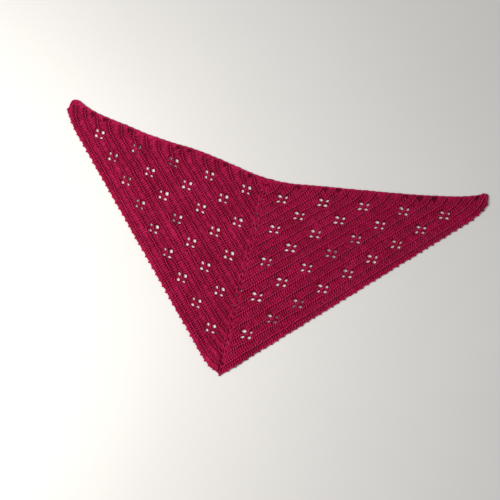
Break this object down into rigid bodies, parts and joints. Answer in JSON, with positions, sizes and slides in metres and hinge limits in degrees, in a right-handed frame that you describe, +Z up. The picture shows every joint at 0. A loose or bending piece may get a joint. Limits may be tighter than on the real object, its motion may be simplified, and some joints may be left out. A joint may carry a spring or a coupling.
{
  "type": "crochet shawl",
  "caption": "Triangular crochet lace shawl laid flat, with ridged chevron rows, four-hole flowers cut through both wings and picot edging on the two lower sides.",
  "frame": {"origin": "middle of the underside of the shawl's box, on the surface it lies on", "axes": "+X from the left wing tip to the right one, +Y up the spine from the lower point to the neck, +Z up from the surface"},
  "size_m": [1.1456, 0.6244, 0.0098],
  "materials": {
    "cotton_yarn": "matt crimson cotton yarn, worked in crochet rows"
  },
  "bodies": {
    "root": {"left_wing": "cotton_yarn", "right_wing": "cotton_yarn", "center_spine": "cotton_yarn", "left_picot_edge": "cotton_yarn", "right_picot_edge": "cotton_yarn"}
  },
  "joints": []
}
